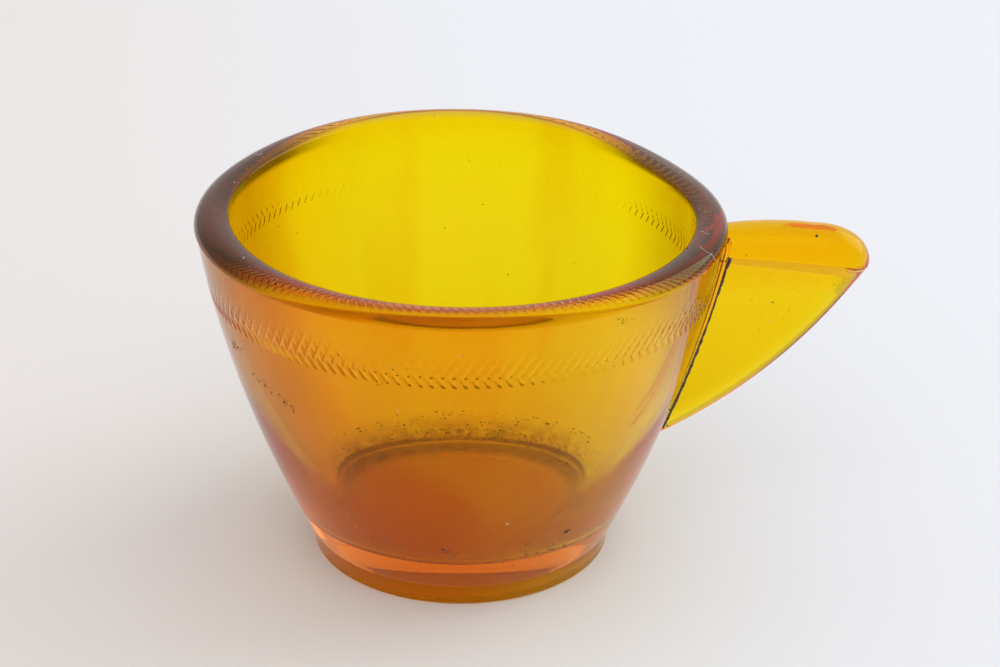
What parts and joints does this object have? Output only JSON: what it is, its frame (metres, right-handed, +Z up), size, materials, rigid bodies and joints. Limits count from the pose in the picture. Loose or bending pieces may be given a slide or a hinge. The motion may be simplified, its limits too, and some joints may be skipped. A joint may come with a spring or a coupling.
{
  "type": "toy cup",
  "caption": "Small amber pressed-glass toy cup with a tapered bowl, thick base, rounded rim and a solid fin-shaped pinch handle on one side.",
  "frame": {"origin": "centre of the foot, on the surface the cup stands on", "axes": "+Z up along the bowl's axis, +X out through the middle of the handle"},
  "size_m": [0.0711, 0.056, 0.0395],
  "materials": {
    "amber_glass": "clear fire-polished amber pressed glass",
    "seam_grime": "dark dirt caught in the crease round the handle and in fine scratches; used by the visual model only",
    "dust": "dust specks and lint fibres lying on the glass; used by the visual model only"
  },
  "bodies": {
    "root": {"bowl": "amber_glass", "handle": "amber_glass"}
  },
  "joints": []
}
